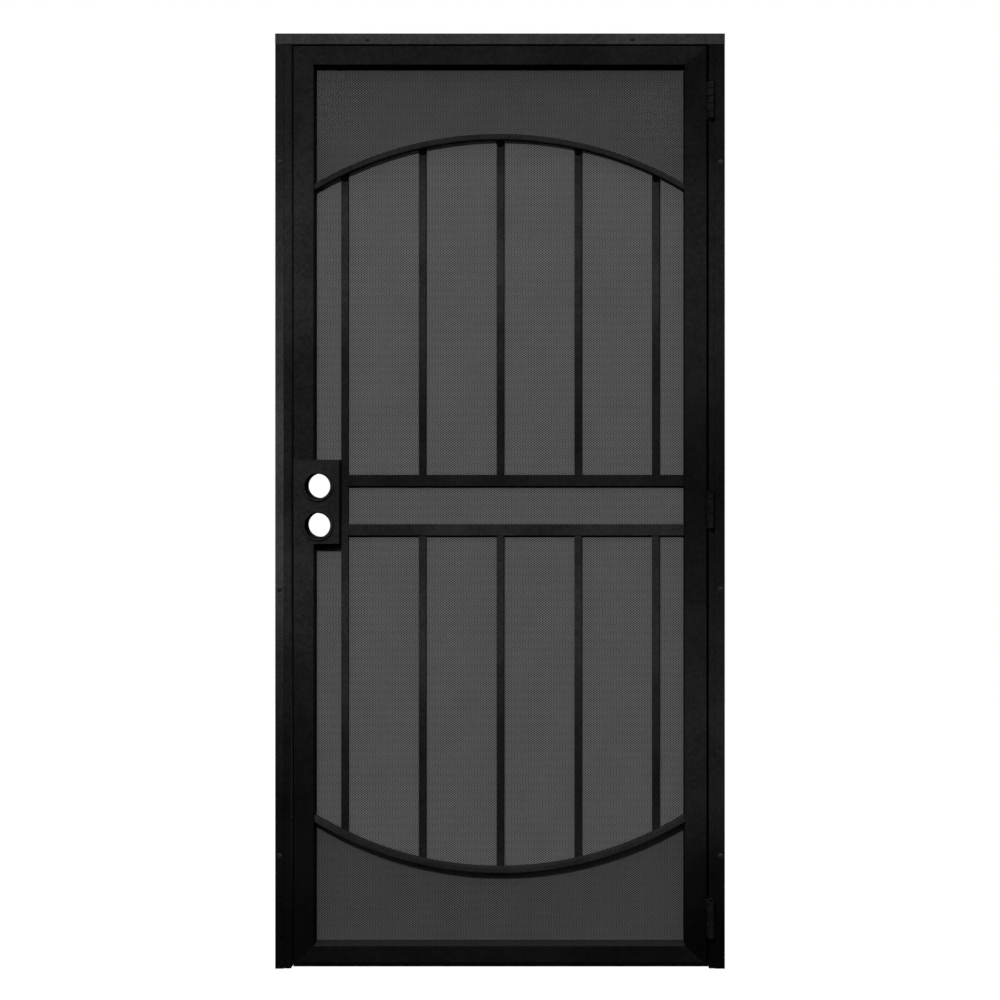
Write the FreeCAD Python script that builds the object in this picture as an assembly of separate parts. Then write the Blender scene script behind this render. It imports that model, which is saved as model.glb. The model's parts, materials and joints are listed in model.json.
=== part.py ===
# Steel security screen door: a surface-mounted frame with one outward-swinging leaf.
# Millimetres, Z up. The front faces -Y, and the wall face is the plane Y = 0.
# The origin is on that plane at the foot of the hinge jamb, at the middle of its width.
import FreeCAD, Part
import math
import os

V = FreeCAD.Vector

# Frame
frame_width = 990.6
frame_height = 2060.0
jamb_width = 34.9
header_height = 23.9
frame_wall = 1.6
strike_band_width = 19.0
hinge_band_width = 22.5
band_rise = 1.6
band_groove_width = 1.2
band_groove_depth = 0.9
edge_radius = 1.2
seam_height = 1.0
seam_depth = 4.0
stop_width = 16.0
stop_thickness = 3.2
strike_strip_thickness = 3.0
strike_strip_depth = 10.0

# Gaps round the leaf
side_gap = 5.0
top_gap = 2.8
foot_clearance = 5.3
stop_gap = 5.0

# Leaf tubes
leaf_depth = 38.1
lock_stile_width = 44.45
hinge_stile_width = 47.6
rail_width = 42.0
leaf_wall = 1.6
tube_radius = 2.0

# Grille
bar_width = 15.9
bar_depth = 9.5
bar_wall = 1.5
bar_radius = 1.5
bar_shift = 1.0
bars_each_side = 2
lock_bar_gap = 0.3
arch_height = 12.7
arch_depth = 15.9
upper_arch_rise = 110.2
lower_arch_rise = 113.5
upper_arch_drop = 149.1
lower_arch_lift = 156.4
arch_overrun = 2.0
weld_gap = 0.1
screen_clearance = 1.0
lock_rail_height = 25.4
lock_rail_spacing = 110.0
lock_height = 1019.5

# Lock box
lock_box_width = 100.4
lock_box_height = 185.5
lock_box_lift = 8.9
lock_bore_radius = 27.0
lock_bore_spacing = 86.5
lock_backset = 54.0
latch_bore_radius = 12.7
collar_radius = 35.5
collar_inner_radius = 28.5
collar_rise = 5.0
collar_bevel = 2.0

# Screen on the back of the leaf
screen_thickness = 1.2
screen_inset = 18.0
screen_lock_gap = 0.5
retainer_width = 20.0
retainer_thickness = 2.0

# Sweep under the bottom rail
sweep_thickness = 2.0
sweep_height = 9.0
sweep_hinge_reach = 4.0
sweep_groove_depth = 1.2
sweep_groove_height = 2.0
sweep_grooves = [2.4, 6.6]

# Hinges
upper_hinge_drop = 121.3
lower_hinge_lift = 102.7
knuckle_count = 5
knuckle_height = 16.4
knuckle_gap = 1.8
barrel_radius = 6.35
barrel_stand_off = 8.0
hinge_plate_thickness = 2.3
hinge_plate_depth = 30.0
strap_reach = 2.0
pin_radius = 3.2
pin_clearance = 0.05
pin_cap_radius = 4.8
pin_cap_height = 2.0
pin_tip_height = 5.0

# Screws through the frame
screw_hole_radius = 3.4
jamb_screw_inset = 9.5
lower_screw_height = 248.0
middle_screw_height = 835.5
upper_screw_drop = 260.1
header_screw_inset = 203.3

# Small open holes in the face of the strike jamb, as inset and height
foot_holes = [(11.3, 158.0), (11.4, 125.3), (13.1, 68.0)]
foot_hole_radius = 2.6

# Places worked out from the sizes above
frame_depth = stop_thickness + stop_gap + leaf_depth
frame_right = jamb_width / 2
frame_left = frame_right - frame_width
frame_middle = frame_right - frame_width / 2
opening_right = frame_right - jamb_width
opening_left = frame_left + jamb_width
header_bottom = frame_height - header_height
band_front = -frame_depth - band_rise

leaf_right = opening_right - side_gap
leaf_left = opening_left + side_gap
leaf_top = header_bottom - top_gap
leaf_bottom = foot_clearance + sweep_thickness
leaf_back = -stop_thickness - stop_gap
leaf_front = leaf_back - leaf_depth

bay_left = leaf_left + lock_stile_width
bay_right = leaf_right - hinge_stile_width
bay_top = leaf_top - rail_width
bay_bottom = leaf_bottom + rail_width

lock_bottom = lock_height + lock_box_lift - lock_box_height / 2
lock_top = lock_bottom + lock_box_height
lock_right = leaf_left + lock_box_width
lock_bore_x = leaf_left + lock_backset
lock_bore_heights = [lock_height + lock_bore_spacing / 2, lock_height - lock_bore_spacing / 2]

bay_middle = (bay_left + bay_right) / 2
bay_half_width = (bay_right - bay_left) / 2
upper_arch_radius = (bay_half_width ** 2 + upper_arch_rise ** 2) / (2 * upper_arch_rise)
lower_arch_radius = (bay_half_width ** 2 + lower_arch_rise ** 2) / (2 * lower_arch_rise)
bar_back = leaf_back - screen_clearance
bar_front = bar_back - bar_depth
arch_back = bar_front - weld_gap
arch_front = arch_back - arch_depth
upper_arch_centre = bay_top - upper_arch_drop - upper_arch_radius
lower_arch_centre = bay_bottom + lower_arch_lift + lower_arch_radius
upper_lock_rail = lock_height + lock_rail_spacing / 2
lower_lock_rail = lock_height - lock_rail_spacing / 2
left_bar_x = lock_right + lock_bar_gap + bar_width / 2
bar_pitch = (bay_middle + bar_shift - left_bar_x) / bars_each_side
bar_places = [left_bar_x + n * bar_pitch for n in range(2 * bars_each_side + 1)]

hinge_x = opening_right - hinge_plate_thickness + barrel_radius
hinge_y = leaf_front - barrel_stand_off
barrel_height = knuckle_count * knuckle_height
upper_hinge_height = leaf_top - upper_hinge_drop
lower_hinge_height = leaf_bottom + lower_hinge_lift
middle_hinge_height = (upper_hinge_height + lower_hinge_height) / 2

jamb_screw_heights = [lower_screw_height, middle_screw_height, header_bottom - upper_screw_drop]
header_screws = [frame_left + header_screw_inset, frame_right - header_screw_inset]


def block(x0, x1, y0, y1, z0, z1):
    return Part.makeBox(x1 - x0, y1 - y0, z1 - z0, V(x0, y0, z0))


def edges_along(shape, direction):
    found = []
    for edge in shape.Edges:
        if edge.Curve.TypeId == "Part::GeomLine":
            if abs(edge.tangentAt(edge.FirstParameter).dot(direction)) > 0.999:
                found.append(edge)
    return found


def square_tube(corners, direction, wall, outer=None):
    """A rectangular tube along one axis, open at both ends."""
    x0, x1, y0, y1, z0, z1 = corners
    sx, sy, sz = [0 if part else wall for part in direction]
    bore = block(x0 + sx, x1 - sx, y0 + sy, y1 - sy, z0 + sz, z1 - sz)
    return (outer or block(*corners)).cut(bore)


def tube(corners, direction, wall, radius):
    """The same with its long outer edges rounded."""
    outer = block(*corners)
    return square_tube(corners, direction, wall, outer.makeFillet(radius, edges_along(outer, direction)))


def prism_xy(points, z0, z1):
    wire = Part.makePolygon([V(x, y, z0) for x, y in points + points[:1]])
    return Part.Face(wire).extrude(V(0, 0, z1 - z0))


def prism_xz(points, y0, y1):
    wire = Part.makePolygon([V(x, y0, z) for x, z in points + points[:1]])
    return Part.Face(wire).extrude(V(0, y1 - y0, 0))


def drill(shape, radius, x, z):
    """Cuts a round hole from front to back."""
    reach = frame_depth + band_rise + barrel_stand_off
    return shape.cut(Part.makeCylinder(radius, 2 * reach, V(x, -1.5 * reach, z), V(0, 1, 0)))


def jamb_section(inner_face, outward, band_width, inset):
    """Corners of a jamb's section: the outer band stands proud of the rest of the front."""
    inner = inner_face + outward * inset
    outer = inner_face + outward * (jamb_width - inset)
    step = inner_face + outward * (jamb_width - band_width + inset)
    front = -frame_depth + inset
    band = band_front + inset
    return [(inner, -inset), (outer, -inset), (outer, band), (step, band), (step, front), (inner, front)]


def jamb(inner_face, outward, band_width):
    section = jamb_section(inner_face, outward, band_width, 0)
    shape = prism_xy(section, 0, header_bottom)
    corner = section[4]
    rounded = []
    for edge in edges_along(shape, V(0, 0, 1)):
        place = edge.Vertexes[0].Point
        if math.hypot(place.x - corner[0], place.y - corner[1]) > edge_radius:
            rounded.append(edge)
    shape = shape.makeFillet(edge_radius, rounded)
    shape = shape.cut(prism_xy(jamb_section(inner_face, outward, band_width, frame_wall), 0, header_bottom))
    ends = sorted((inner_face, inner_face + outward * jamb_width))
    shape = shape.cut(block(*ends, band_front, -frame_depth + seam_depth, header_bottom - seam_height, header_bottom))
    step = inner_face + outward * (jamb_width - band_width)
    groove = sorted((step, step - outward * band_groove_width))
    shape = shape.cut(block(*groove, -frame_depth, -frame_depth + band_groove_depth, 0, header_bottom))
    screw_x = inner_face + outward * (jamb_width - jamb_screw_inset)
    for height in jamb_screw_heights:
        shape = drill(shape, screw_hole_radius, screw_x, height)
    return shape


def strike_jamb():
    shape = jamb(opening_left, -1, strike_band_width)
    for inset, height in foot_holes:
        start = V(frame_left + inset, band_front, height)
        shape = shape.cut(Part.makeCylinder(foot_hole_radius, band_rise + frame_wall, start, V(0, 1, 0)))
    return shape


def header():
    outer = block(frame_left, frame_right, band_front, 0, header_bottom, frame_height)
    outer = outer.makeFillet(edge_radius, edges_along(outer, V(1, 0, 0)))
    cavity = block(frame_left + frame_wall, frame_right - frame_wall, band_front + frame_wall, -frame_wall,
                   header_bottom + frame_wall, frame_height - frame_wall)
    shape = outer.cut(cavity)
    for screw_x in header_screws:
        shape = drill(shape, screw_hole_radius, screw_x, header_bottom + header_height / 2)
    return shape


def make_frame(nodes):
    nodes["header"] = header()
    nodes["hinge_jamb"] = jamb(opening_right, 1, hinge_band_width)
    nodes["strike_jamb"] = strike_jamb()
    nodes["strike_strip"] = block(opening_left, opening_left + strike_strip_thickness, -frame_depth,
                                  -frame_depth + strike_strip_depth, foot_clearance, header_bottom)
    stop_top = header_bottom - stop_width
    nodes["header_stop"] = block(opening_left, opening_right, -stop_thickness, 0, stop_top, header_bottom)
    nodes["hinge_stop"] = block(opening_right - stop_width, opening_right, -stop_thickness, 0, 0, stop_top)
    nodes["strike_stop"] = block(opening_left, opening_left + stop_width, -stop_thickness, 0, 0, stop_top)


def mitred(corners, direction, outline):
    shape = tube(corners, direction, leaf_wall, tube_radius)
    return shape.common(prism_xz(outline, leaf_front, leaf_back))


def make_leaf_tubes(nodes):
    outer = [(leaf_left, leaf_bottom), (leaf_right, leaf_bottom), (leaf_right, leaf_top), (leaf_left, leaf_top)]
    inner = [(bay_left, bay_bottom), (bay_right, bay_bottom), (bay_right, bay_top), (bay_left, bay_top)]
    ys = (leaf_front, leaf_back)
    along, up = V(1, 0, 0), V(0, 0, 1)
    nodes["bottom_rail"] = mitred((leaf_left, leaf_right, *ys, leaf_bottom, bay_bottom), along,
                                  [outer[0], outer[1], inner[1], inner[0]])
    nodes["hinge_stile"] = mitred((bay_right, leaf_right, *ys, leaf_bottom, leaf_top), up,
                                  [outer[1], outer[2], inner[2], inner[1]])
    nodes["top_rail"] = mitred((leaf_left, leaf_right, *ys, bay_top, leaf_top), along,
                               [outer[2], outer[3], inner[3], inner[2]])
    nodes["lock_stile_upper"] = mitred((leaf_left, bay_left, *ys, lock_top, leaf_top), up,
                                       [(leaf_left, lock_top), (bay_left, lock_top), inner[3], outer[3]])
    nodes["lock_stile_lower"] = mitred((leaf_left, bay_left, *ys, leaf_bottom, lock_bottom), up,
                                       [outer[0], inner[0], (bay_left, lock_bottom), (leaf_left, lock_bottom)])


def lock_box():
    shape = block(leaf_left, lock_right, leaf_front, leaf_back, lock_bottom, lock_top)
    for height in lock_bore_heights:
        shape = drill(shape, lock_bore_radius, lock_bore_x, height)
        latch_start = V(leaf_left, (leaf_front + leaf_back) / 2, height)
        shape = shape.cut(Part.makeCylinder(latch_bore_radius, lock_backset, latch_start, V(1, 0, 0)))
    return shape


def lock_collar(height):
    centre = V(lock_bore_x, leaf_front, height)
    ring = Part.makeCylinder(collar_radius, collar_rise, centre, V(0, -1, 0))
    front_edges = [e for e in ring.Edges if abs(e.CenterOfMass.y - (leaf_front - collar_rise)) < weld_gap]
    ring = ring.makeChamfer(collar_bevel, front_edges)
    return ring.cut(Part.makeCylinder(collar_inner_radius, collar_rise, centre, V(0, -1, 0)))


def bar_tube(x, z0, z1):
    half = bar_width / 2
    return tube((x - half, x + half, bar_front, bar_back, z0, z1), V(0, 0, 1), bar_wall, bar_radius)


def arch_disc(radius, centre_z):
    return Part.makeCylinder(radius, bar_depth, V(bay_middle, bar_front, centre_z), V(0, 1, 0))


def arch(centre_z, radius, upward):
    """A tube bent to the arch's radius and trimmed at both stiles. It lies across the fronts of the bars."""
    far = centre_z + upward * radius
    near = far - upward * arch_height
    low, high = min(far, near), max(far, near)
    start = (bay_middle, bay_middle + arch_height, arch_front, arch_back, low, high)
    straight = square_tube(start, V(1, 0, 0), bar_wall)
    section = min(straight.Faces, key=lambda face: face.CenterOfMass.x)
    centre = V(bay_middle, arch_front, centre_z)
    half_angle = math.degrees(math.asin(bay_half_width / (radius - arch_height))) + arch_overrun
    section.rotate(centre, V(0, 1, 0), -half_angle)
    bent = section.revolve(centre, V(0, 1, 0), 2 * half_angle)
    return bent.common(block(bay_left, bay_right, arch_front, arch_back, bay_bottom, bay_top))


def bay_under(arch_centre, radius, far_end):
    """The part of the bay up to an arch's middle line, which trims the bars that end behind it."""
    z0, z1 = min(arch_centre, far_end), max(arch_centre, far_end)
    rest = block(bay_left, bay_right, bar_front, bar_back, z0, z1)
    return arch_disc(radius - arch_height / 2, arch_centre).fuse(rest)


def make_grille(nodes):
    nodes["upper_arch"] = arch(upper_arch_centre, upper_arch_radius, 1)
    nodes["lower_arch"] = arch(lower_arch_centre, lower_arch_radius, -1)
    under_upper = bay_under(upper_arch_centre, upper_arch_radius, bay_bottom)
    over_lower = bay_under(lower_arch_centre, lower_arch_radius, bay_top)
    half_rail = lock_rail_height / 2
    left_bar = bar_tube(bar_places[0], bay_bottom, bay_top)
    nodes["left_bar"] = left_bar.common(under_upper).common(over_lower)
    for number, x in enumerate(bar_places[1:], start=1):
        upper = bar_tube(x, upper_lock_rail + half_rail, bay_top)
        lower = bar_tube(x, bay_bottom, lower_lock_rail - half_rail)
        nodes[f"upper_bar_{number}"] = upper.common(under_upper)
        nodes[f"lower_bar_{number}"] = lower.common(over_lower)
    for name, z in (("upper_lock_rail", upper_lock_rail), ("lower_lock_rail", lower_lock_rail)):
        corners = (bar_places[0] + bar_width / 2, bay_right, bar_front, bar_back, z - half_rail, z + half_rail)
        nodes[name] = tube(corners, V(1, 0, 0), bar_wall, bar_radius)


def make_screen(nodes):
    left, right = leaf_left + screen_inset, leaf_right - screen_inset
    bottom, top = leaf_bottom + screen_inset, leaf_top - screen_inset
    back = leaf_back + screen_thickness
    sheet = block(left, right, leaf_back, back, bottom, top)
    lock_cut = (lock_bottom - screen_lock_gap, lock_top + screen_lock_gap)
    notch = block(left, lock_right + screen_lock_gap, leaf_back, back, *lock_cut)
    nodes["screen"] = sheet.cut(notch)
    strip = (back, back + retainer_thickness)
    side_bottom, side_top = bottom + retainer_width, top - retainer_width
    nodes["top_retainer"] = block(left, right, *strip, side_top, top)
    nodes["bottom_retainer"] = block(left, right, *strip, bottom, side_bottom)
    nodes["hinge_side_retainer"] = block(right - retainer_width, right, *strip, side_bottom, side_top)
    half = retainer_width / 2
    nodes["lock_side_retainer_upper"] = block(left, left + retainer_width, *strip, lock_top + half, side_top)
    nodes["lock_side_retainer_lower"] = block(left, left + retainer_width, *strip, side_bottom, lock_bottom - half)
    nodes["lock_retainer_top"] = block(left, lock_right + half, *strip, lock_top - half, lock_top + half)
    nodes["lock_retainer_bottom"] = block(left, lock_right + half, *strip, lock_bottom - half, lock_bottom + half)
    nodes["lock_retainer_side"] = block(lock_right - half, lock_right + half, *strip, lock_bottom + half,
                                        lock_top - half)


def bottom_sweep():
    """A ribbed angle strip under the foot of the bottom rail and up its front."""
    front, top = leaf_front - sweep_thickness, foot_clearance + sweep_height
    ends = (leaf_left, leaf_right + sweep_hinge_reach)
    shape = block(*ends, front, leaf_back, foot_clearance, top)
    shape = shape.cut(block(*ends, leaf_front, leaf_back, leaf_bottom, top))
    for lift in sweep_grooves:
        z = foot_clearance + lift
        shape = shape.cut(block(*ends, front, front + sweep_groove_depth, z, z + sweep_groove_height))
    return shape


def knuckles(bottom, levels):
    shapes = []
    for level in levels:
        z0 = bottom + level * knuckle_height + knuckle_gap / 2
        shapes.append(Part.makeCylinder(barrel_radius, knuckle_height - knuckle_gap, V(hinge_x, hinge_y, z0)))
    return shapes


def hinge_half(plate_x0, plate_x1, bottom, levels, strap_x1, strap_y0, strap_y1):
    """One plate with its knuckles, each knuckle joined to the plate by a strap."""
    plate = block(plate_x0, plate_x1, leaf_front, leaf_front + hinge_plate_depth, bottom, bottom + barrel_height)
    shape = plate
    for knuckle in knuckles(bottom, levels):
        box = knuckle.BoundBox
        strap = block(plate_x0, plate_x1, strap_y0, leaf_front, box.ZMin, box.ZMax)
        root = block(plate_x0, strap_x1, strap_y0, strap_y1, box.ZMin, box.ZMax)
        shape = shape.fuse([knuckle, strap, root])
    pin_bore = Part.makeCylinder(pin_radius + pin_clearance, barrel_height, V(hinge_x, hinge_y, bottom))
    return shape.cut(pin_bore).removeSplitter()


def hinge_pin(bottom, tip_is_up):
    top = bottom + barrel_height
    shaft = Part.makeCylinder(pin_radius, barrel_height, V(hinge_x, hinge_y, bottom))
    cap_z = bottom - pin_cap_height if tip_is_up else top
    cap = Part.makeCylinder(pin_cap_radius, pin_cap_height, V(hinge_x, hinge_y, cap_z))
    tip_z, tip_way = (top, 1) if tip_is_up else (bottom, -1)
    tip = Part.makeCone(pin_cap_radius, pin_radius, pin_tip_height, V(hinge_x, hinge_y, tip_z), V(0, 0, tip_way))
    return shaft.fuse([cap, tip]).removeSplitter()


def make_hinges(nodes):
    frame_levels = range(0, knuckle_count, 2)
    door_levels = range(1, knuckle_count, 2)
    strap_root = hinge_x - (barrel_radius + pin_radius) / 2
    heights = {"upper": upper_hinge_height, "middle": middle_hinge_height, "lower": lower_hinge_height}
    for name, height in heights.items():
        bottom = height - barrel_height / 2
        nodes[f"{name}_hinge_jamb_half"] = hinge_half(opening_right - hinge_plate_thickness, opening_right, bottom,
                                                      frame_levels, opening_right, hinge_y, leaf_front)
        nodes[f"{name}_hinge_door_half"] = hinge_half(leaf_right, leaf_right + hinge_plate_thickness, bottom,
                                                      door_levels, strap_root, hinge_y - strap_reach,
                                                      hinge_y + strap_reach)
        nodes[f"{name}_hinge_pin"] = hinge_pin(bottom, name == "lower")


def main():
    nodes = {}
    make_frame(nodes)
    make_leaf_tubes(nodes)
    nodes["lock_box"] = lock_box()
    nodes["upper_lock_collar"] = lock_collar(lock_bore_heights[0])
    nodes["lower_lock_collar"] = lock_collar(lock_bore_heights[1])
    make_grille(nodes)
    make_screen(nodes)
    nodes["bottom_sweep"] = bottom_sweep()
    make_hinges(nodes)
    os.makedirs("parts", exist_ok=True)
    for name, shape in nodes.items():
        shape.exportStep(os.path.join("parts", name + ".step"))
        print(name, shape.isValid(), len(shape.Solids), round(shape.Volume))


main()
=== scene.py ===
# Steel security screen door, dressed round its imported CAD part
import json
import math

import bpy
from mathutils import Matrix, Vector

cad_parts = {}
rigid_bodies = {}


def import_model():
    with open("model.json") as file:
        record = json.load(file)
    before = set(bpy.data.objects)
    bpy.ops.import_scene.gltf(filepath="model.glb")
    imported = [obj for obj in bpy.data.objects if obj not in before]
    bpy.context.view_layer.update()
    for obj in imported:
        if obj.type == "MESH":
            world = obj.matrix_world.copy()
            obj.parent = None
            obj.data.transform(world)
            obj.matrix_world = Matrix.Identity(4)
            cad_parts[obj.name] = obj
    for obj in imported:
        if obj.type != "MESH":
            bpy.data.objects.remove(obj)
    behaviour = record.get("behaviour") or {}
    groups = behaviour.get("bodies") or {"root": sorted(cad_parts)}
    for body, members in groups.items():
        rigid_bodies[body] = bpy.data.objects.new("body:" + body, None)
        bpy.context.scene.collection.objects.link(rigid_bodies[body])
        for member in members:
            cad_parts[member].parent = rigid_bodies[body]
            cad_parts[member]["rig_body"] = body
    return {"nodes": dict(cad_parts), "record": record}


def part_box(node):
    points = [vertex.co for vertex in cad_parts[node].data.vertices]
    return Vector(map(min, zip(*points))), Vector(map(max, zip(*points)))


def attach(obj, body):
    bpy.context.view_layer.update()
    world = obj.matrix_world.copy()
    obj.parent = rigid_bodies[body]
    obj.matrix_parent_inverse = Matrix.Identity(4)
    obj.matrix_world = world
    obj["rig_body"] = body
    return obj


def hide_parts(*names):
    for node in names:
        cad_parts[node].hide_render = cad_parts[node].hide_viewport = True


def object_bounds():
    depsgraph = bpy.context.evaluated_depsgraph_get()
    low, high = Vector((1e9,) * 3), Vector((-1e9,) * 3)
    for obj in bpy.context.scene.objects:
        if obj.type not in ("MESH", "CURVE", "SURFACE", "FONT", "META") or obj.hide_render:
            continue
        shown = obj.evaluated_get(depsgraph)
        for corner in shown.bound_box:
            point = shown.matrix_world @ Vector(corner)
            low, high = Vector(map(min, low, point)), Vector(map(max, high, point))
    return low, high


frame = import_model()
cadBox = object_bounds()  # the CAD box, before anything is added
nodes = frame["nodes"]
mounts = frame["record"]["mounts"]
mm = 0.001
hair = 0.01 * mm                    # places closer than this count as one
smoothAngle = math.radians(35)      # edges sharper than this stay sharp
print("frame loaded,", len(nodes), "nodes")


# Small helpers
def hexToLinear(code):
    parts = [int(code[i:i + 2], 16) / 255 for i in (1, 3, 5)]
    return [c / 12.92 if c <= 0.04045 else ((c + 0.055) / 1.055) ** 2.4 for c in parts] + [1.0]


def perMetre(sizeMm):
    return 1000 / sizeMm  # a texture node's scale for a pattern of that size


def addNode(tree, kind, settings=None, links=None):
    node = tree.nodes.new(kind)
    for name, value in (settings or {}).items():
        if isinstance(name, int) or name in node.inputs:
            node.inputs[name].default_value = value
        else:
            setattr(node, name, value)
    for name, source in (links or {}).items():
        tree.links.new(source, node.inputs[name])
    return node


def startMaterial(name):
    material = bpy.data.materials.new(name)
    material.use_nodes = True
    material.node_tree.nodes.clear()
    return material, material.node_tree


def selectOnly(*pieces):
    if bpy.context.object and bpy.context.object.mode != "OBJECT":
        bpy.ops.object.mode_set(mode="OBJECT")
    bpy.ops.object.select_all(action="DESELECT")
    for piece in pieces:
        piece.select_set(True)
        bpy.context.view_layer.objects.active = piece


def settle(piece):
    selectOnly(piece)  # the object goes to the origin, its place into its mesh
    bpy.ops.object.transform_apply(location=True, rotation=True, scale=True)


def pick(piece, test):
    selectOnly(piece)  # the vertices that pass the test are left selected, in edit mode
    bpy.ops.object.mode_set(mode="EDIT")
    bpy.ops.mesh.select_mode(type="VERT")
    bpy.ops.mesh.select_all(action="DESELECT")
    bpy.ops.object.mode_set(mode="OBJECT")
    for vertex in piece.data.vertices:
        vertex.select = bool(test(vertex))
    bpy.ops.object.mode_set(mode="EDIT")


def pickAll(piece):
    selectOnly(piece)
    bpy.ops.object.mode_set(mode="EDIT")
    bpy.ops.mesh.select_all(action="SELECT")


def closeUp(piece):
    pickAll(piece)  # doubles merged, normals outwards
    bpy.ops.mesh.remove_doubles(threshold=hair / 2)
    bpy.ops.mesh.normals_make_consistent(inside=False)
    bpy.ops.object.mode_set(mode="OBJECT")


def trim(piece, place, outward):
    pickAll(piece)  # what lies beyond the plane goes, and the cut is filled
    bpy.ops.mesh.bisect(plane_co=place, plane_no=outward, use_fill=True, clear_outer=True)
    bpy.ops.object.mode_set(mode="OBJECT")


def addBlock(name, low, high):
    selectOnly()
    bpy.ops.mesh.primitive_cube_add(size=1, location=[(a + b) / 2 for a, b in zip(low, high)])
    piece = bpy.context.object
    piece.name = piece.data.name = name
    piece.scale = [b - a for a, b in zip(low, high)]
    settle(piece)
    return piece


def applyAll(piece):
    selectOnly(piece)
    for modifier in list(piece.modifiers):
        bpy.ops.object.modifier_apply(modifier=modifier.name)


def joinPieces(name, pieces):
    selectOnly(*pieces)
    bpy.ops.object.join()
    piece = bpy.context.object
    piece.name = piece.data.name = name
    return piece


def copyAt(piece, place):
    selectOnly(piece)
    bpy.ops.object.duplicate(linked=False)
    twin = bpy.context.object
    twin.location = place
    settle(twin)
    return twin


def dress(piece, body, slot, material, *stoodFor):
    piece.data.materials.clear()
    piece.data.materials.append(material)
    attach(piece, body)
    if stoodFor:
        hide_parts(*stoodFor)


# Camera, square on to the door, with the photograph's framing kept by the lens shift
cameraLook = {
    "photoSide": 1000, "mmPerPixel": 2.2033,       # at the front of the leaf
    "middleColumn": 500.04, "floorRow": 968.48,    # the frame's middle and its feet, in pixels
    "standRight": 105, "standHigh": 1130, "standOff": 2860, "sensor": 36,
}
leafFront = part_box("hinge_stile")[0].y
frameMiddle = (cadBox[0].x + cadBox[1].x) / 2
fieldWidth = cameraLook["photoSide"] * cameraLook["mmPerPixel"]
pictureRight = (cameraLook["photoSide"] / 2 - cameraLook["middleColumn"]) * cameraLook["mmPerPixel"]
pictureHigh = (cameraLook["floorRow"] - cameraLook["photoSide"] / 2) * cameraLook["mmPerPixel"]
selectOnly()
bpy.ops.object.camera_add(
    location=(frameMiddle + cameraLook["standRight"] * mm, leafFront - cameraLook["standOff"] * mm,
              cameraLook["standHigh"] * mm),
    rotation=(math.pi / 2, 0, 0))
camera = bpy.context.object
camera.name = "photoCamera"
camera.data.sensor_width = cameraLook["sensor"]
camera.data.lens = cameraLook["sensor"] * cameraLook["standOff"] / fieldWidth
camera.data.shift_x = (pictureRight - cameraLook["standRight"]) / fieldWidth
camera.data.shift_y = (pictureHigh - cameraLook["standHigh"]) / fieldWidth
bpy.context.scene.camera = camera
print("camera placed, lens", round(camera.data.lens, 1), "mm")


# Studio: a soft dome over the upper half, small lamps high in front and behind, white backdrop and floor
studioLook = {
    "keyLeft": 500, "keyHigh": 2130, "keyOff": 2300, "keyRadius": 90, "keyPower": 33,  # mm and watts
    "dome": "#f2f3f6", "domeStrength": 1.05, "domeFrom": 0.15, "domeTo": 0.55,   # heights on a unit dome
    "paper": "#ffffff", "paperRadius": 40,                                       # metres
    "floorMatt": "#2a2a2b", "floorSide": 6, "floorDrop": 0.5,                    # metres, mm under the feet
}


def makeLamp(name, towardsFront, look):
    selectOnly()
    bpy.ops.object.light_add(type="POINT", location=(
        frameMiddle - look["keyLeft"] * mm, leafFront - towardsFront * look["keyOff"] * mm,
        look["keyHigh"] * mm))
    lamp = bpy.context.object
    lamp.name = name
    lamp.visible_glossy = False  # the paint mirrors only the soft dome
    lamp.data.shadow_soft_size = look["keyRadius"] * mm
    lamp.data.energy = look["keyPower"]
    lamp.data.use_nodes = True
    tree = lamp.data.node_tree  # an even falloff, as from a lamp much further away
    even = addNode(tree, "ShaderNodeLightFalloff", {"Strength": 1.0})
    tree.links.new(even.outputs["Constant"], tree.nodes["Emission"].inputs["Strength"])


def makeDome(look):
    world = bpy.data.worlds.new("studioDome")
    world.use_nodes = True
    tree = world.node_tree
    towards = addNode(tree, "ShaderNodeTexCoord").outputs["Generated"]
    height = addNode(tree, "ShaderNodeSeparateXYZ", None, {"Vector": towards}).outputs["Z"]
    glow = addNode(tree, "ShaderNodeMapRange", {
        "interpolation_type": "SMOOTHSTEP", "From Min": look["domeFrom"], "From Max": look["domeTo"],
        "To Max": look["domeStrength"]}, {"Value": height})
    background = tree.nodes["Background"]
    background.inputs["Color"].default_value = hexToLinear(look["dome"])
    tree.links.new(glow.outputs["Result"], background.inputs["Strength"])
    bpy.context.scene.world = world


def makePaper(look):
    material, tree = startMaterial("paperBackdrop")  # white paper that only the camera sees
    glow = addNode(tree, "ShaderNodeEmission", {"Color": hexToLinear(look["paper"])})
    addNode(tree, "ShaderNodeOutputMaterial", None, {"Surface": glow.outputs[0]})
    selectOnly()
    bpy.ops.mesh.primitive_uv_sphere_add(segments=96, ring_count=48, radius=look["paperRadius"])
    paper = bpy.context.object
    paper.name = "backdrop"
    paper.data.materials.append(material)
    paper.visible_shadow = False
    return paper


def makeFloor(look):
    material, tree = startMaterial("paleFloor")  # as white as the paper, with a faint shadow
    matt = addNode(tree, "ShaderNodeBsdfDiffuse", {"Color": hexToLinear(look["floorMatt"])})
    glow = addNode(tree, "ShaderNodeEmission", {"Color": hexToLinear(look["paper"])})
    both = addNode(tree, "ShaderNodeAddShader", None, {0: matt.outputs[0], 1: glow.outputs[0]})
    addNode(tree, "ShaderNodeOutputMaterial", None, {"Surface": both.outputs[0]})
    selectOnly()
    bpy.ops.mesh.primitive_plane_add(size=look["floorSide"],
                                     location=(frameMiddle, 0, -look["floorDrop"] * mm))
    floor = bpy.context.object
    floor.name = "floor"
    floor.data.materials.append(material)
    return floor


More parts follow.
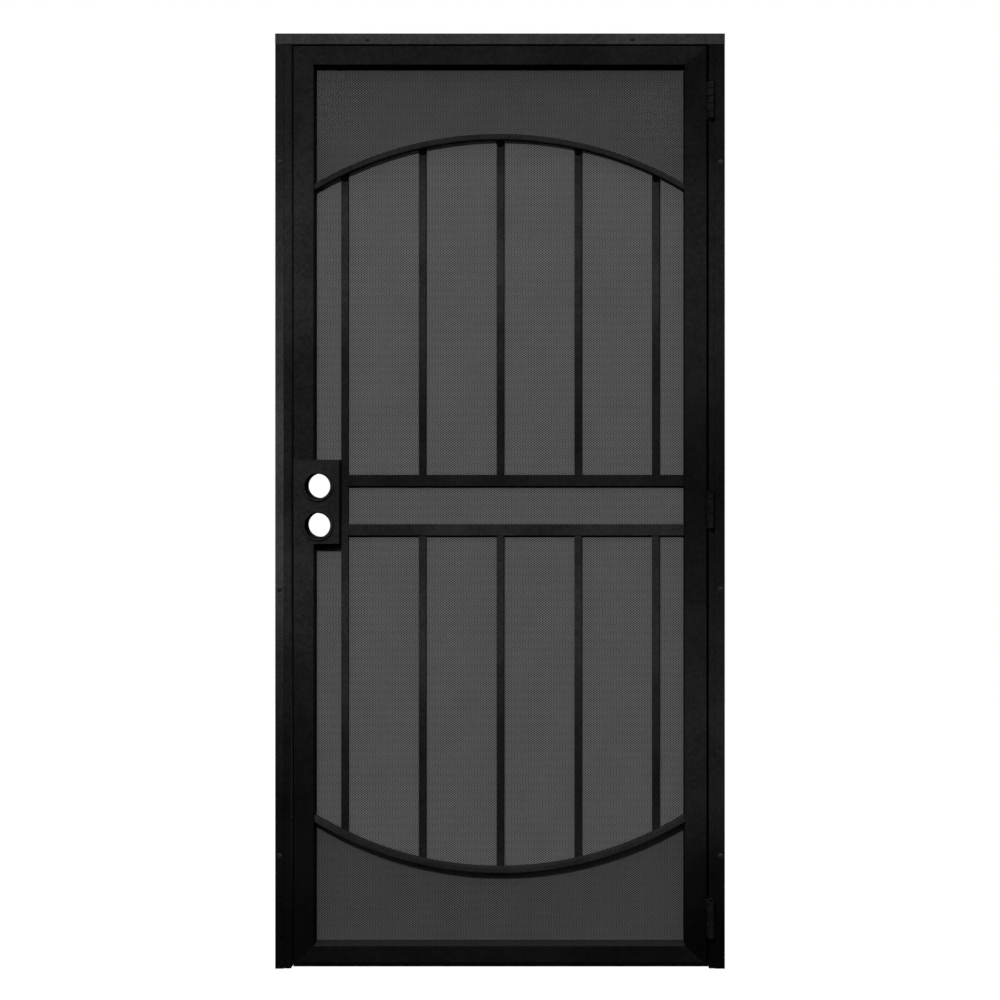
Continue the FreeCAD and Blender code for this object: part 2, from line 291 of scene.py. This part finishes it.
makeLamp("keyLamp", 1, studioLook)
makeLamp("rearLamp", -1, studioLook)  # for views from behind
makeDome(studioLook)
for stagePiece in (makePaper(studioLook), makeFloor(studioLook)):
    stagePiece.visible_diffuse = stagePiece.visible_glossy = stagePiece.visible_transmission = False
bpy.context.scene.view_settings.view_transform = "Standard"
print("studio lit")


# Textured powder coat on steel: satin black, mottled by the baked grit, dusty on what looks up, with painted
# light there too
powderLook = {
    "paint": "#111112", "paintPale": "#1b1b1c",
    "patchMm": 160, "mottleMm": 7, "gritMm": 3,     # mottle and grit are drawn coarser than real, to show
    "darkestSum": 0.81, "palestSum": 1.19,          # of the patch and mottle noises
    "dustAndTopLight": "#262524", "dustAndTopLightAmount": 0.75, "dustAndTopLightFrom": 0.8,  # how far up a face looks before it holds dust and painted light
    "roughLow": 0.86, "roughHigh": 0.96, "specular": 0.05,
    "mottleBump": 0.08, "mottleDeepMm": 1.0, "gritBump": 0.2, "gritDeepMm": 0.4,
    "paintedSheenBands": None,                             # or bands of painted sheen, paler and darker by turns: spacing, height of one, share between
    "paintedLitBand": None,                                 # or a band of painted light: paint, front face and heights in metres
    "paintedBoreShade": None,                                 # or painted shade on the bores' walls, standing for the dark inside of a hollow case
    "foot": None,                                   # or painted shade towards the floor: heights in metres, share of the paint left
}


def makePowderCoat(name, look):
    material, tree = startMaterial(name)
    place = addNode(tree, "ShaderNodeTexCoord").outputs["Object"]
    patch = addNode(tree, "ShaderNodeTexNoise", {"Scale": perMetre(look["patchMm"]), "Detail": 3.0,
                                                 "Roughness": 0.6}, {"Vector": place})
    mottle = addNode(tree, "ShaderNodeTexNoise", {"Scale": perMetre(look["mottleMm"]), "Detail": 3.0,
                                                  "Roughness": 0.65}, {"Vector": place})
    grit = addNode(tree, "ShaderNodeTexNoise", {"Scale": perMetre(look["gritMm"]), "Detail": 2.0,
                                                "Roughness": 0.7}, {"Vector": place})
    both = addNode(tree, "ShaderNodeMath", {"operation": "ADD"},
                   {0: patch.outputs["Fac"], 1: mottle.outputs["Fac"]})
    share = addNode(tree, "ShaderNodeMapRange", {
        "From Min": look["darkestSum"], "From Max": look["palestSum"]}, {"Value": both.outputs[0]})
    tone = addNode(tree, "ShaderNodeMix", {"data_type": "RGBA", 6: hexToLinear(look["paint"]),
                                           7: hexToLinear(look["paintPale"])}, {0: share.outputs["Result"]})
    if look["paintedSheenBands"]:
        tone = addPaintedSheenBands(tree, place, tone, look["paintedSheenBands"])
    if look["paintedLitBand"]:
        tone = addPaintedLitBand(tree, place, tone, share, look["paintedLitBand"])
    if look["paintedBoreShade"]:
        tone = addPaintedBoreShade(tree, place, tone, look["paintedBoreShade"])
    if look["foot"]:
        tone = addPaintedFootShade(tree, place, tone, look["foot"])
    # paler on faces that look up: dust, and painted light on their tops
    facing = addNode(tree, "ShaderNodeSeparateXYZ", None, {
        "Vector": addNode(tree, "ShaderNodeNewGeometry").outputs["Normal"]})
    dustAndTopLightShare = addNode(tree, "ShaderNodeMapRange", {
        "From Min": look["dustAndTopLightFrom"], "To Max": look["dustAndTopLightAmount"]}, {"Value": facing.outputs["Z"]})
    tone = addNode(tree, "ShaderNodeMix", {"data_type": "RGBA", 7: hexToLinear(look["dustAndTopLight"])},
                   {0: dustAndTopLightShare.outputs["Result"], 6: tone.outputs[2]})
    rough = addNode(tree, "ShaderNodeMapRange", {"To Min": look["roughLow"], "To Max": look["roughHigh"]},
                    {"Value": grit.outputs["Fac"]})
    wave = addNode(tree, "ShaderNodeBump", {
        "Strength": look["mottleBump"], "Distance": look["mottleDeepMm"] * mm},
        {"Height": mottle.outputs["Fac"]})
    tooth = addNode(tree, "ShaderNodeBump", {
        "Strength": look["gritBump"], "Distance": look["gritDeepMm"] * mm},
        {"Height": grit.outputs["Fac"], "Normal": wave.outputs["Normal"]})
    shader = addNode(tree, "ShaderNodeBsdfPrincipled", {"IOR": 1.5, "Specular IOR Level": look["specular"]},
                     {"Base Color": tone.outputs[2], "Roughness": rough.outputs["Result"],
                      "Normal": tooth.outputs["Normal"]})
    addNode(tree, "ShaderNodeOutputMaterial", None, {"Surface": shader.outputs[0]})
    return material


def addPaintedSheenBands(tree, place, tone, bands):
    # painted sheen: full tone at even heights, darker towards black between them
    axes = addNode(tree, "ShaderNodeSeparateXYZ", None, {"Vector": place})
    turn = 2 * math.pi / bands["spacing"]
    swing = addNode(tree, "ShaderNodeMath", {"operation": "MULTIPLY_ADD", 1: turn,
                                             2: -turn * bands["height"]}, {0: axes.outputs["Z"]})
    wave = addNode(tree, "ShaderNodeMath", {"operation": "COSINE"}, {0: swing.outputs[0]})
    left = addNode(tree, "ShaderNodeMapRange", {"From Min": -1.0, "To Min": bands["share"]},
                   {"Value": wave.outputs[0]})
    return addNode(tree, "ShaderNodeMix", {"data_type": "RGBA", 6: hexToLinear("#000000")},
                   {0: left.outputs["Result"], 7: tone.outputs[2]})


def addPaintedLitBand(tree, place, tone, share, band):
    # painted light: a paler film on the jamb's proud band, palest at mid-height, fading towards both ends
    axes = addNode(tree, "ShaderNodeSeparateXYZ", None, {"Vector": place})
    proud = addNode(tree, "ShaderNodeMapRange", {
        "From Min": band["front"] + band["edgeFar"], "From Max": band["front"] + band["edgeNear"]},
        {"Value": axes.outputs["Y"]})
    rising, falling = [addNode(tree, "ShaderNodeMapRange", {
        "interpolation_type": "SMOOTHSTEP", "From Min": band[end], "From Max": band["middle"]},
        {"Value": axes.outputs["Z"]}).outputs["Result"] for end in ("low", "high")]
    along = addNode(tree, "ShaderNodeMath", {"operation": "MULTIPLY"}, {0: rising, 1: falling})
    amount = addNode(tree, "ShaderNodeMath", {"operation": "MULTIPLY"},
                     {0: along.outputs[0], 1: proud.outputs["Result"]})
    pale = addNode(tree, "ShaderNodeMix", {"data_type": "RGBA", 6: hexToLinear(band["paint"]),
                                           7: hexToLinear(band["paintPale"])}, {0: share.outputs["Result"]})
    return addNode(tree, "ShaderNodeMix", {"data_type": "RGBA"},
                   {0: amount.outputs[0], 6: tone.outputs[2], 7: pale.outputs[2]})


def addPaintedFootShade(tree, place, tone, foot):
    # painted shade: the paint darkens towards the floor
    axes = addNode(tree, "ShaderNodeSeparateXYZ", None, {"Vector": place})
    left = addNode(tree, "ShaderNodeMapRange", {"From Min": foot["low"], "From Max": foot["high"],
                                                "To Min": foot["share"]}, {"Value": axes.outputs["Z"]})
    return addNode(tree, "ShaderNodeMix", {"data_type": "RGBA", 6: hexToLinear("#000000")},
                   {0: left.outputs["Result"], 7: tone.outputs[2]})


def awayFrom(tree, place, x, z):
    axes = addNode(tree, "ShaderNodeSeparateXYZ", None, {"Vector": place})  # distance in the front view
    flat = addNode(tree, "ShaderNodeCombineXYZ", None, {"X": axes.outputs["X"], "Z": axes.outputs["Z"]})
    return addNode(tree, "ShaderNodeVectorMath", {"operation": "DISTANCE", 1: (x, 0, z)},
                   {0: flat.outputs["Vector"]}).outputs["Value"]


def addPaintedBoreShade(tree, place, tone, paintedBoreShade):
    # painted shade: near black on the bores' walls, for the dark inside of a hollow case
    for mount in mounts:
        if mount["kind"] == "bore":
            x, _, z = mount["pos_m"]
            rim = mount["dims"]["r_mm"] * mm + paintedBoreShade["past"]
            wall = addNode(tree, "ShaderNodeMapRange", {"From Min": rim, "From Max": rim + paintedBoreShade["blur"]},
                           {"Value": awayFrom(tree, place, x, z)})
            tone = addNode(tree, "ShaderNodeMix", {"data_type": "RGBA", 6: hexToLinear(paintedBoreShade["paint"])},
                           {0: wall.outputs["Result"], 7: tone.outputs[2]})
    return tone


lockSideLook = {  # painted sheen bands, in metres, and painted shade towards the floor
    **powderLook, "paint": "#1b1b1c", "paintPale": "#282829",
    "paintedSheenBands": {"spacing": 0.8, "height": 1.58, "share": 0.54},
    "foot": {"low": 0.12, "high": 0.85, "share": 0.15}}
hingeSideLook = {
    **powderLook, "paint": "#161617", "paintPale": "#212122",
    "paintedSheenBands": {"spacing": 0.98, "height": 1.52, "share": 0.41},
    "foot": {"low": 0.05, "high": 0.35, "share": 0.3}}
framePaint = makePowderCoat("powderCoatedFrameSteel", hingeSideLook)
# the strike jamb's proud band is paler: painted light
strikePaint = makePowderCoat("powderCoatedStrikeSteel", {
    **lockSideLook, "paintedLitBand": {
        "paint": "#2b2b2c", "paintPale": "#3b3b3c", "low": 0.25, "middle": 1.15, "high": 1.75,
        "front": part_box("strike_jamb")[0].y, "edgeNear": 0.4 * mm, "edgeFar": 0.9 * mm}})  # behind it
litHeaderPaint = makePowderCoat("paintedLightHeaderSteel", {  # paler: painted light
    **powderLook, "paint": "#272728", "paintPale": "#363637"})
lockStilePaint = makePowderCoat("powderCoatedLockStileSteel", lockSideLook)
hingeStilePaint = makePowderCoat("powderCoatedHingeStileSteel", hingeSideLook)
railPaint = makePowderCoat("powderCoatedRailSteel", powderLook)
footShadePaint = makePowderCoat("paintedShadeFootSteel", {  # nearly black, painted shade near the floor
    **powderLook, "paint": "#0a0a0b", "paintPale": "#121213"})
sweepPaint = makePowderCoat("powderCoatedSweepSteel", {  # black with wet dirt
    **powderLook, "paint": "#040404", "paintPale": "#090909", "dustAndTopLightAmount": 0.1})
# the bars take the same painted sheen bands
barPaint = makePowderCoat("powderCoatedBarSteel", {
    **powderLook, "paint": "#1d1d1e", "paintPale": "#2c2c2d",
    "paintedSheenBands": {"spacing": 0.8, "height": 1.58, "share": 0.41}})
archPaint = makePowderCoat("powderCoatedArchSteel", {
    **powderLook, "paint": "#19191a", "paintPale": "#272728"})
lockPaint = makePowderCoat("powderCoatedLockBoxSteel", {
    **powderLook, "paint": "#19191a", "paintPale": "#252526",
    "paintedBoreShade": {"paint": "#010101", "past": 1.7 * mm, "blur": 0.4 * mm}})  # painted shade, reaching past the bores' walls
hingePaint = makePowderCoat("satinPaintedHingeSteel", {  # smoother, with a soft shine
    **powderLook, "paint": "#0d0d0e", "paintPale": "#171718", "roughLow": 0.55, "roughHigh": 0.7,
    "specular": 0.1, "gritBump": 0.08})
pinShadePaint = makePowderCoat("paintedShadePinSteel", {  # painted shade: black in the gaps between knuckles
    **powderLook, "paint": "#020202", "paintPale": "#050505"})
weldPaint = makePowderCoat("scorchedWeldSteel", {  # burnt black and lumpy
    **powderLook, "paint": "#020202", "paintPale": "#070707", "patchMm": 12, "mottleMm": 4,
    "mottleBump": 0.5})
screwPaint = makePowderCoat("blackOxideScrewSteel", {  # dark, with a small glint
    **powderLook, "paint": "#1a1a1c", "paintPale": "#262629", "patchMm": 6, "roughLow": 0.28,
    "roughHigh": 0.42, "specular": 0.3, "gritBump": 0.04})


# Expanded steel screen: charcoal dip paint on the strands, and painted shade, near black, in the slits
# between them
screenLook = {
    "strand": "#5c5c5d", "strandPale": "#686869", "slit": "#040405", "slitPale": "#080809",
    "strandBeyond": "#474748", "strandBeyondPale": "#515152",  # outside the two arches
    "patchMm": 90, "grainMm": 2, "grainBump": 0.12, "grainDeepMm": 0.3,  # grain drawn coarse, to show
    "roughLow": 0.68, "roughHigh": 0.82, "specular": 0.12,
}
archTall = 12.7 * mm  # the arches' section, front view


def archCircle(node, upward):
    low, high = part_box(node)  # the arch's box gives its circle: middle, height of the middle, outer radius
    rise, half = high.z - low.z, (high.x - low.x) / 2
    radius = (rise ** 2 - archTall ** 2 + half ** 2) / (2 * (rise - archTall))
    return (low.x + high.x) / 2, (high.z if upward > 0 else low.z) - upward * radius, radius


def addBeyondArch(tree, place, node, upward):
    across, height, radius = archCircle(node, upward)
    axes = addNode(tree, "ShaderNodeSeparateXYZ", None, {"Vector": place})
    beyond = addNode(tree, "ShaderNodeMapRange", {"From Min": radius - archTall, "From Max": radius},
                     {"Value": awayFrom(tree, place, across, height)})
    ownHalf = addNode(tree, "ShaderNodeMapRange", {
        "From Min": height - upward * mm, "From Max": height + upward * mm}, {"Value": axes.outputs["Z"]})
    return addNode(tree, "ShaderNodeMath", {"operation": "MULTIPLY"},
                   {0: beyond.outputs["Result"], 1: ownHalf.outputs["Result"]}).outputs[0]


def makeDipPaint(name, dark, pale, look, beyond=None):
    material, tree = startMaterial(name)
    place = addNode(tree, "ShaderNodeTexCoord").outputs["Object"]
    patch = addNode(tree, "ShaderNodeTexNoise", {"Scale": perMetre(look["patchMm"]), "Detail": 5.0,
                                                 "Roughness": 0.65}, {"Vector": place}).outputs["Fac"]
    tone = addNode(tree, "ShaderNodeMix", {"data_type": "RGBA", 6: hexToLinear(dark),
                                           7: hexToLinear(pale)}, {0: patch}).outputs[2]
    if beyond:
        share = addNode(tree, "ShaderNodeMath", {"operation": "MAXIMUM"}, {
            0: addBeyondArch(tree, place, "upper_arch", 1),
            1: addBeyondArch(tree, place, "lower_arch", -1)})
        outer = addNode(tree, "ShaderNodeMix", {"data_type": "RGBA", 6: hexToLinear(beyond[0]),
                                                7: hexToLinear(beyond[1])}, {0: patch}).outputs[2]
        tone = addNode(tree, "ShaderNodeMix", {"data_type": "RGBA"},
                       {0: share.outputs[0], 6: tone, 7: outer}).outputs[2]
    grain = addNode(tree, "ShaderNodeTexNoise", {"Scale": perMetre(look["grainMm"]), "Detail": 1.0},
                    {"Vector": place}).outputs["Fac"]
    rough = addNode(tree, "ShaderNodeMapRange", {"To Min": look["roughLow"], "To Max": look["roughHigh"]},
                    {"Value": grain})
    skin = addNode(tree, "ShaderNodeBump", {"Strength": look["grainBump"],
                                           "Distance": look["grainDeepMm"] * mm}, {"Height": grain})
    shader = addNode(tree, "ShaderNodeBsdfPrincipled", {"Specular IOR Level": look["specular"]},
                     {"Base Color": tone, "Roughness": rough.outputs["Result"],
                      "Normal": skin.outputs["Normal"]})
    addNode(tree, "ShaderNodeOutputMaterial", None, {"Surface": shader.outputs[0]})
    return material


strandPaint = makeDipPaint("dipPaintedScreenStrands", screenLook["strand"], screenLook["strandPale"],
                           screenLook, (screenLook["strandBeyond"], screenLook["strandBeyondPale"]))
backStrandPaint = makeDipPaint("dipPaintedBackStrands", screenLook["strand"], screenLook["strandPale"],
                               screenLook)
# the sheet behind the strands, near black: painted shade in the slits
slitShadePaint = makeDipPaint("screenSlitsPaintedShade", screenLook["slit"], screenLook["slitPale"], screenLook)
print("finishes mixed")


# The CAD nodes whose shape is right keep it and take these finishes
ownFinish = {"header": litHeaderPaint, "strike_jamb": strikePaint, "lock_box": lockPaint, "screen": slitShadePaint,
             "hinge_stile": hingeStilePaint, "lower_lock_rail": archPaint, "bottom_rail": footShadePaint,
             "bottom_sweep": sweepPaint}


def finishFor(name, body):
    if "_hinge_" in name:
        return pinShadePaint if name.endswith("_pin") else hingePaint
    if name in ownFinish:
        return ownFinish[name]
    if body == "frame":
        return framePaint
    if "_bar" in name:
        return barPaint
    return lockStilePaint if "lock_stile" in name else railPaint


for name, node in nodes.items():
    node.data.materials.clear()
    node.data.materials.append(finishFor(name, node["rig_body"]))
print("nodes painted")


# Strands of the expanded screen, two crossing families of slanted ribbons on each side of the sheet
strandSpec = {
    "longWay": 6.9 * mm, "shortWay": 5.07 * mm,  # one diamond, across and up
    "width": 1.6 * mm, "depth": 0.6 * mm, "step": 0.15 * mm, "sink": 0.1 * mm,
}


def strandZone(name, zone, slope, nearY, farY, spec):
    left, right, low, high = zone
    steep = spec["shortWay"] / spec["longWay"]
    rise = (right - left) * steep
    tall = spec["width"] * math.hypot(1, steep)          # the ribbon's height, measured upright
    middle = (left + right) / 2
    phase = slope * steep * (middle - frameMiddle)       # keeps the diamonds in step from zone to zone
    first = math.ceil((low - rise / 2 - tall / 2 - phase) / spec["shortWay"])
    last = math.floor((high + rise / 2 + tall / 2 - phase) / spec["shortWay"])
    start = first * spec["shortWay"] + phase
    ribbon = addBlock(name, (left, nearY, start - tall / 2), (right, farY, start + tall / 2))
    for side in (1, -1):
        pick(ribbon, lambda v: side * (v.co.x - middle) > 0)
        bpy.ops.transform.translate(value=(0, 0, side * slope * rise / 2))
        bpy.ops.object.mode_set(mode="OBJECT")
    array = ribbon.modifiers.new("rows", "ARRAY")
    array.count = last - first + 1
    array.use_relative_offset = False
    array.use_constant_offset = True
    array.constant_offset_displace = (0, 0, spec["shortWay"])
    applyAll(ribbon)
    trim(ribbon, (middle, nearY, high), (0, 0, 1))
    trim(ribbon, (middle, nearY, low), (0, 0, -1))
    return ribbon


def makeStrands(name, bounds, lock, faceY, outward, spec):
    left, right, low, high = bounds
    lockRight, lockLow, lockHigh = lock
    zones = [(left, right, lockHigh, high), (lockRight, right, lockLow, lockHigh),
             (left, right, low, lockLow)]  # over, beside and under the lock box
    ribbons = []
    for slope in (1, -1):
        reach = spec["depth"] + (spec["step"] if slope > 0 else 0)
        ends = sorted((faceY - outward * spec["sink"], faceY + outward * reach))
        ribbons += [strandZone(name, zone, slope, ends[0], ends[1], spec) for zone in zones]
    piece = joinPieces(name, ribbons)
    dress(piece, "door", "screen", strandPaint if outward < 0 else backStrandPaint)
    print(name, len(piece.data.polygons), "faces")


lockLow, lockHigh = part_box("lock_box")
sheetLow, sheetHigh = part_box("screen")
makeStrands("screenStrandsFront",
            (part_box("lock_stile_upper")[1].x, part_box("hinge_stile")[0].x,
             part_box("bottom_rail")[1].z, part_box("top_rail")[0].z),
            (lockHigh.x, lockLow.z, lockHigh.z), sheetLow.y, -1, strandSpec)
makeStrands("screenStrandsBack",
            (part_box("lock_side_retainer_upper")[1].x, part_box("hinge_side_retainer")[0].x,
             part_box("bottom_retainer")[1].z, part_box("top_retainer")[0].z),
            (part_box("lock_retainer_side")[1].x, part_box("lock_retainer_bottom")[0].z,
             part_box("lock_retainer_top")[1].z), sheetHigh.y, 1, strandSpec)


# Arches: square tube bent cold, so its edges are soft
archSpec = {"edge": 1.5 * mm, "lowEdge": 1.5 * mm, "edgeSteps": 4, "steps": 40,
            "overrun": 0.03}  # radians bent past each end, then trimmed off


def makeArch(name, node, upward, spec):
    low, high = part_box(node)
    across, height, radius = archCircle(node, upward)
    middle = (across, (low.y + high.y) / 2, height)
    crown = height + upward * (radius - archTall / 2)
    selectOnly()
    bpy.ops.mesh.primitive_plane_add(size=1, location=(across, middle[1], crown),
                                     rotation=(0, math.pi / 2, 0))
    arch = bpy.context.object
    arch.name = arch.data.name = name
    arch.scale = (archTall, high.y - low.y, 1)
    settle(arch)
    for lowFront, edge in ((True, spec["lowEdge"]), (False, spec["edge"])):
        pick(arch, lambda v: (v.co.y < middle[1] and v.co.z < crown) == lowFront)
        bpy.ops.mesh.bevel(offset=edge, segments=spec["edgeSteps"], affect="VERTICES")
        bpy.ops.object.mode_set(mode="OBJECT")
    pickAll(arch)
    bpy.ops.mesh.delete(type="ONLY_FACE")
    sweep = math.asin((high.x - low.x) / 2 / (radius - archTall)) + spec["overrun"]
    for way in (1, -1):
        pick(arch, lambda v: abs(v.co.x - across) < hair)
        bpy.ops.mesh.spin(steps=spec["steps"], angle=way * sweep, center=middle, axis=(0, 1, 0))
        bpy.ops.object.mode_set(mode="OBJECT")
    closeUp(arch)
    trim(arch, (low.x, middle[1], height), (-1, 0, 0))
    trim(arch, (high.x, middle[1], height), (1, 0, 0))
    closeUp(arch)
    bpy.ops.object.shade_smooth_by_angle(angle=smoothAngle)
    dress(arch, "door", "leaf", archPaint, node)


makeArch("upperArch", "upper_arch", 1, {**archSpec, "lowEdge": 3.4 * mm})
makeArch("lowerArch", "lower_arch", -1, archSpec)
print("arches bent")


# Weld beads on the bars' front, right under the upper arch, left black by the torch
weldSpec = {"across": 7.6 * mm, "proud": 2.4 * mm, "tall": 8 * mm, "drop": 4 * mm,
            "toe": 0.25, "toeWide": 1.12, "sink": 0.1 * mm, "smooth": 50}  # the toe flares out on the bar


def makeBead(name, spec):
    selectOnly()
    bpy.ops.mesh.primitive_uv_sphere_add(segments=24, ring_count=14, radius=1)
    bead = bpy.context.object
    bead.name = bead.data.name = name
    bead.scale = (spec["across"], spec["proud"], spec["tall"])
    settle(bead)
    pick(bead, lambda v: abs(v.co.y) < spec["proud"] * spec["toe"])
    bpy.ops.transform.resize(value=(spec["toeWide"], 1, spec["toeWide"]))
    bpy.ops.object.mode_set(mode="OBJECT")
    trim(bead, (0, spec["sink"], 0), (0, 1, 0))
    closeUp(bead)
    bpy.ops.object.shade_smooth_by_angle(angle=math.radians(spec["smooth"]))
    return bead


def weldPlaces(bars, node, spec):
    across, height, radius = archCircle(node, 1)
    places = []
    for bar in bars:
        low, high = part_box(bar)
        x = (low.x + high.x) / 2
        under = height + math.sqrt((radius - archTall) ** 2 - (x - across) ** 2)
        places.append((x, low.y, under - spec["drop"]))
    return places


def placeCopies(name, model, places, body, slot, material):
    copies = joinPieces(name, [copyAt(model, place) for place in places])
    dress(copies, body, slot, material)
    selectOnly(model)
    bpy.ops.object.delete()
    print(name, len(places))


weldedBars = ["left_bar"] + [f"upper_bar_{n}" for n in range(1, 5)]
placeCopies("archWelds", makeBead("archWeld", weldSpec), weldPlaces(weldedBars, "upper_arch", weldSpec),
            "door", "leaf", weldPaint)


# Collars round the lock bores, turned with a coned flank and soft edges
collarSpec = {"wall": 7 * mm, "cone": 2.4 * mm, "outerEdge": 0.5 * mm, "innerEdge": 0.4 * mm,
              "edgeSteps": 4, "steps": 80}


def makeCollar(name, node, spec):
    low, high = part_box(node)
    middle = ((low.x + high.x) / 2, (low.y + high.y) / 2, (low.z + high.z) / 2)
    wallMiddle = high.x - spec["wall"] / 2
    selectOnly()
    bpy.ops.mesh.primitive_plane_add(size=1, location=(wallMiddle, middle[1], middle[2]))
    collar = bpy.context.object
    collar.name = collar.data.name = name
    collar.scale = (spec["wall"], high.y - low.y, 1)
    settle(collar)
    for side, edge in ((1, spec["outerEdge"]), (-1, spec["innerEdge"])):
        pick(collar, lambda v: v.co.y < middle[1] and side * (v.co.x - wallMiddle) > 0)
        if side > 0:
            bpy.ops.transform.translate(value=(-spec["cone"], 0, 0))
        bpy.ops.mesh.bevel(offset=edge, segments=spec["edgeSteps"], affect="VERTICES")
    pickAll(collar)
    bpy.ops.mesh.delete(type="ONLY_FACE")
    pickAll(collar)
    bpy.ops.mesh.spin(steps=spec["steps"], angle=2 * math.pi, center=middle, axis=(0, 1, 0))
    closeUp(collar)
    bpy.ops.object.shade_smooth_by_angle(angle=smoothAngle)
    dress(collar, "door", "leaf", lockPaint, node)


makeCollar("upperLockCollar", "upper_lock_collar", collarSpec)
makeCollar("lowerLockCollar", "lower_lock_collar", collarSpec)
print("collars turned")


# Screws: one-way domed heads through the frame, small pan heads along the screen's strips
screwSpec = {"radius": 6 * mm, "rise": 2.3 * mm, "slot": 1.5 * mm, "slotDepth": 1.5 * mm, "turn": 28}
stripScrewSpec = {"radius": 4.2 * mm, "rise": 1.7 * mm, "slot": 1.0 * mm, "slotDepth": 0.9 * mm,
                  "turn": 75, "spacing": 240 * mm, "endGap": 30 * mm}


def makeScrew(name, spec, backward):
    selectOnly()
    bpy.ops.mesh.primitive_uv_sphere_add(segments=28, ring_count=14, radius=1,
                                         rotation=(math.pi / 2, 0, 0))
    head = bpy.context.object
    head.name = head.data.name = name
    settle(head)
    head.scale = (spec["radius"], spec["rise"], spec["radius"])
    settle(head)
    trim(head, (0, 0, 0), (0, -1 if backward else 1, 0))
    closeUp(head)
    front = spec["rise"] * (1 if backward else -1)
    ends = sorted((front * 2, front - math.copysign(spec["slotDepth"], front)))
    cutter = addBlock(name + "Cutter", (-2 * spec["radius"], ends[0], -spec["slot"] / 2),
                      (2 * spec["radius"], ends[1], spec["slot"] / 2))
    cutter.rotation_euler.y = math.radians(spec["turn"])
    settle(cutter)
    slot = head.modifiers.new("slot", "BOOLEAN")
    slot.operation, slot.object, slot.solver = "DIFFERENCE", cutter, "EXACT"
    applyAll(head)
    selectOnly(cutter)
    bpy.ops.object.delete()
    closeUp(head)
    bpy.ops.object.shade_smooth_by_angle(angle=smoothAngle)
    return head


def frameScrewPlaces():
    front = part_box("header")[0].y
    places = []
    for mount in mounts:
        if mount["kind"] == "bolt_pattern":
            x, _, z = mount["pos_m"]
            aside, above = [mount["dims"].get(key, 0) / 2 * mm for key in ("spacing_x_mm", "spacing_y_mm")]
            places += [(x + side * aside, front, z + up * above) for side in (-1, 1)
                       for up in ((-1, 1) if above else (0,))]
    return places


def stripScrewPlaces(spec):
    places = []
    for name in ("top_retainer", "bottom_retainer", "hinge_side_retainer", "lock_side_retainer_upper",
                 "lock_side_retainer_lower", "lock_retainer_side"):
        low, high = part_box(name)
        lying = high.x - low.x > high.z - low.z
        start, end = [(corner.x if lying else corner.z) + way * spec["endGap"]
                      for corner, way in ((low, 1), (high, -1))]
        count = max(1, round((end - start) / spec["spacing"]))
        for n in range(count + 1):
            along = start + (end - start) * n / count
            places.append((along, high.y, (low.z + high.z) / 2) if lying
                          else ((low.x + high.x) / 2, high.y, along))
    return places


placeCopies("frameScrews", makeScrew("frameScrew", screwSpec, False), frameScrewPlaces(),
            "frame", "hinge", screwPaint)
placeCopies("stripScrews", makeScrew("stripScrew", stripScrewSpec, True), stripScrewPlaces(stripScrewSpec),
            "door", "leaf", screwPaint)
